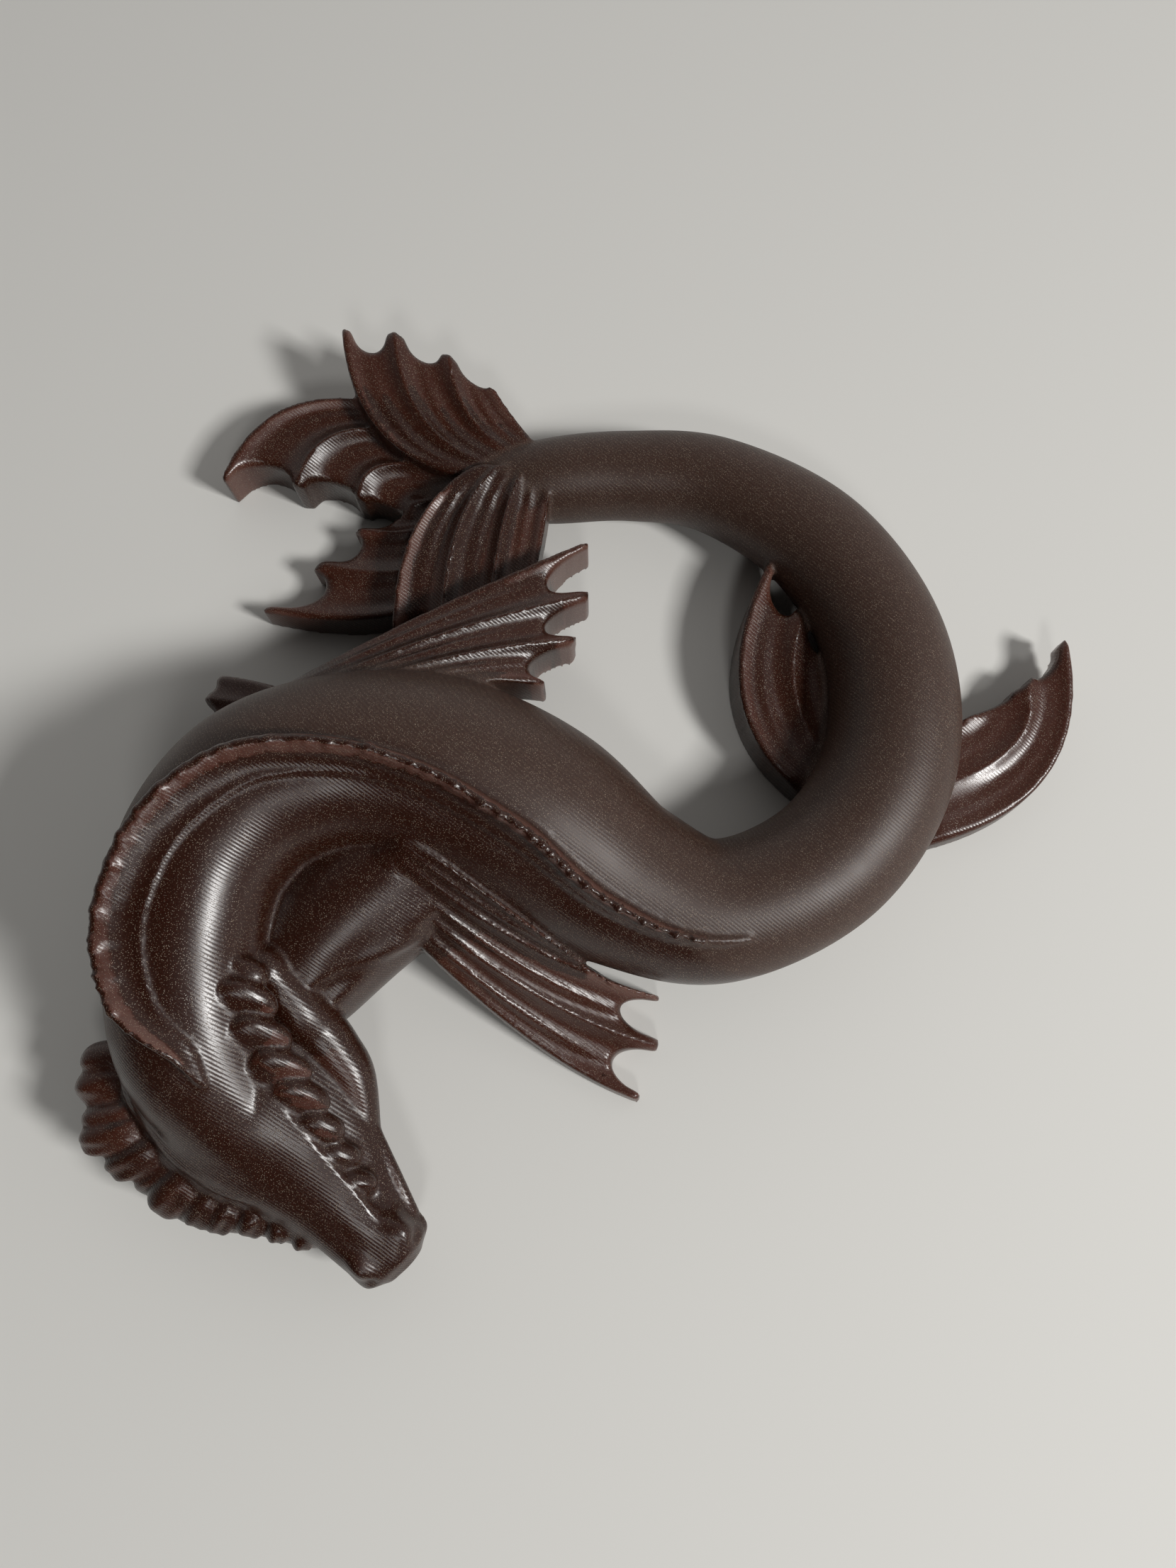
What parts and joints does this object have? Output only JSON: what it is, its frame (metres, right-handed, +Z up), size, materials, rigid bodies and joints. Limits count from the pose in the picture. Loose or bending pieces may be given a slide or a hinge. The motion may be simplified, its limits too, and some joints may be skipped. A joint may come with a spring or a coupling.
{
  "type": "sea dragon figurine",
  "caption": "Small one-piece figurine of a finned sea dragon lying curled in a ring, in dark brown translucent resin.",
  "frame": {"origin": "middle of the figure's box in plan, on the surface it lies on", "axes": "+Z up from the surface it lies on; the head points to -Y, the tail fans spread to -X and the body's ring lies on the +X side"},
  "size_m": [0.1096, 0.1056, 0.0278],
  "materials": {
    "brown_resin": "satin translucent brown resin with a fine speckle and faint print layers"
  },
  "bodies": {
    "root": {"sea_dragon": "brown_resin"}
  },
  "joints": []
}
